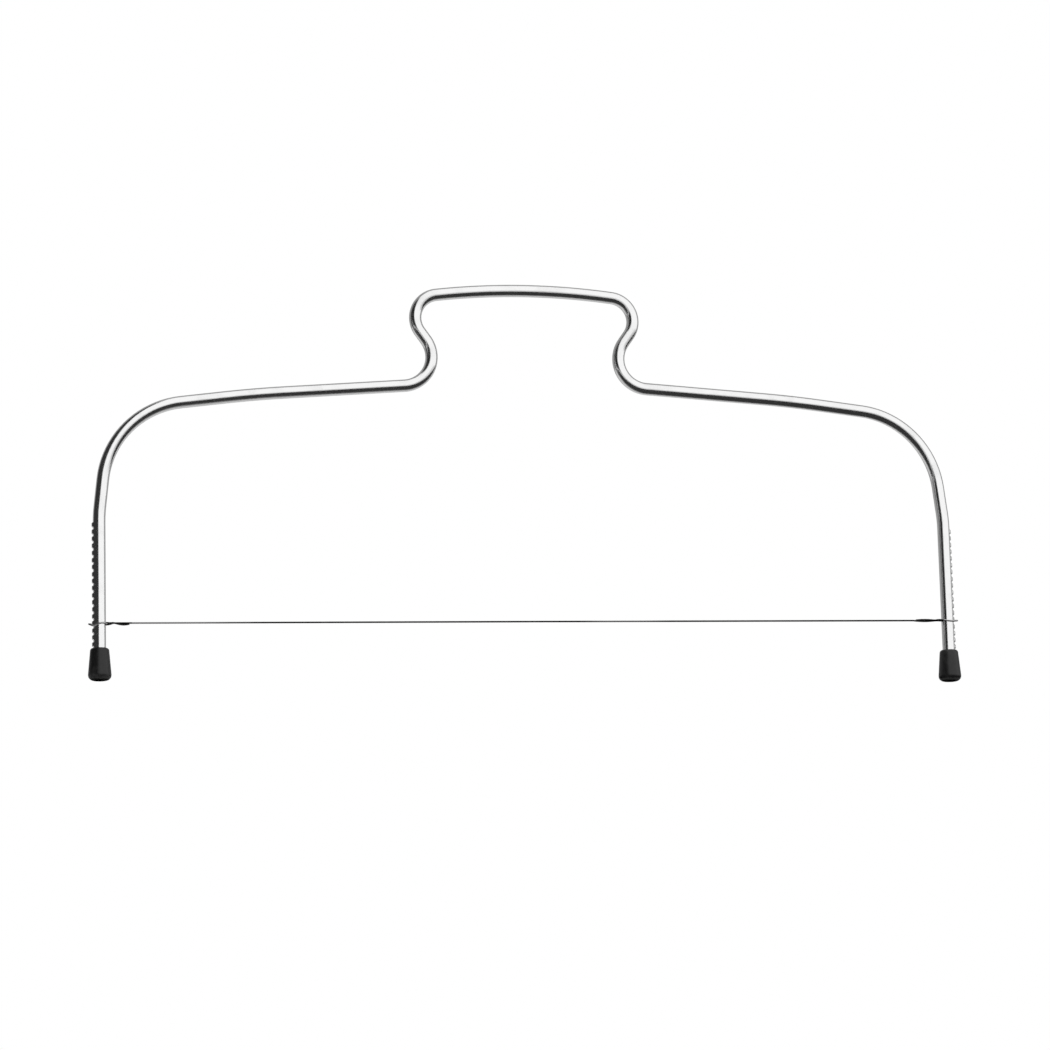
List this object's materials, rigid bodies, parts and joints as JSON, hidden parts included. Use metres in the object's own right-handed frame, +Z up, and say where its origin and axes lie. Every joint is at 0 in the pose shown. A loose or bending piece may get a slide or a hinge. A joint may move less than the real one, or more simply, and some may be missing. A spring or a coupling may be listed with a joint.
{
  "type": "wire cake leveler",
  "caption": "Bent steel rod frame with a grip, toothed legs and rubber feet, holding a thin cutting wire at a set height to slice cake layers level.",
  "frame": {"origin": "on the floor between the two feet, half way from leg to leg, under the rod's axis", "axes": "+Z up, along the legs to the grip; +X from the left leg to the right leg; -Y faces the viewer"},
  "size_m": [0.3204, 0.0084, 0.147],
  "materials": {
    "frame_steel": "bright polished",
    "wire_steel": "drawn wire",
    "foot_rubber": "matt moulded"
  },
  "bodies": {
    "frame": {"frame": "frame_steel", "left_foot": "foot_rubber", "right_foot": "foot_rubber"},
    "wire": {"cutting_wire": "wire_steel"}
  },
  "joints": [
    {"name": "wire_height", "type": "slide", "parent": "frame", "child": "wire", "axis": [0, 0, 1], "range_m": [-0.00762, 0.03302]}
  ]
}
